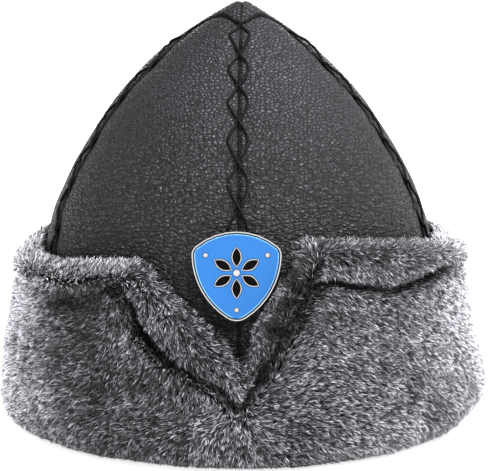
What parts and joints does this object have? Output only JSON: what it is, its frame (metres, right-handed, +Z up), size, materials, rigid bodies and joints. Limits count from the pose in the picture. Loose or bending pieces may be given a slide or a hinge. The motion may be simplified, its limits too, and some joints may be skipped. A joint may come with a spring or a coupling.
{
  "type": "bork hat",
  "caption": "Pointed leather hat with a turned-up fur cuff that opens in a V at the front, and an enamelled metal badge.",
  "frame": {"origin": "centre of the hat's bounding box, on the floor that its cuff rests on", "axes": "+Z up to the tip, -Y to the hat's front where the badge is, +X to the right as seen from the front"},
  "size_m": [0.2362, 0.2471, 0.1992],
  "materials": {
    "black_leather": "grained, half matt",
    "grey_fur": "short plush faux fur, dark roots and light tips",
    "nickel": "polished",
    "blue_enamel": "glossy enamel"
  },
  "bodies": {
    "root": {"crown_gore_front_right": "black_leather", "crown_gore_back_right": "black_leather", "crown_gore_back_left": "black_leather", "crown_gore_front_left": "black_leather", "fur_cuff": "grey_fur", "badge_plate": "nickel", "badge_post": "nickel", "badge_enamel": "blue_enamel"}
  },
  "joints": []
}
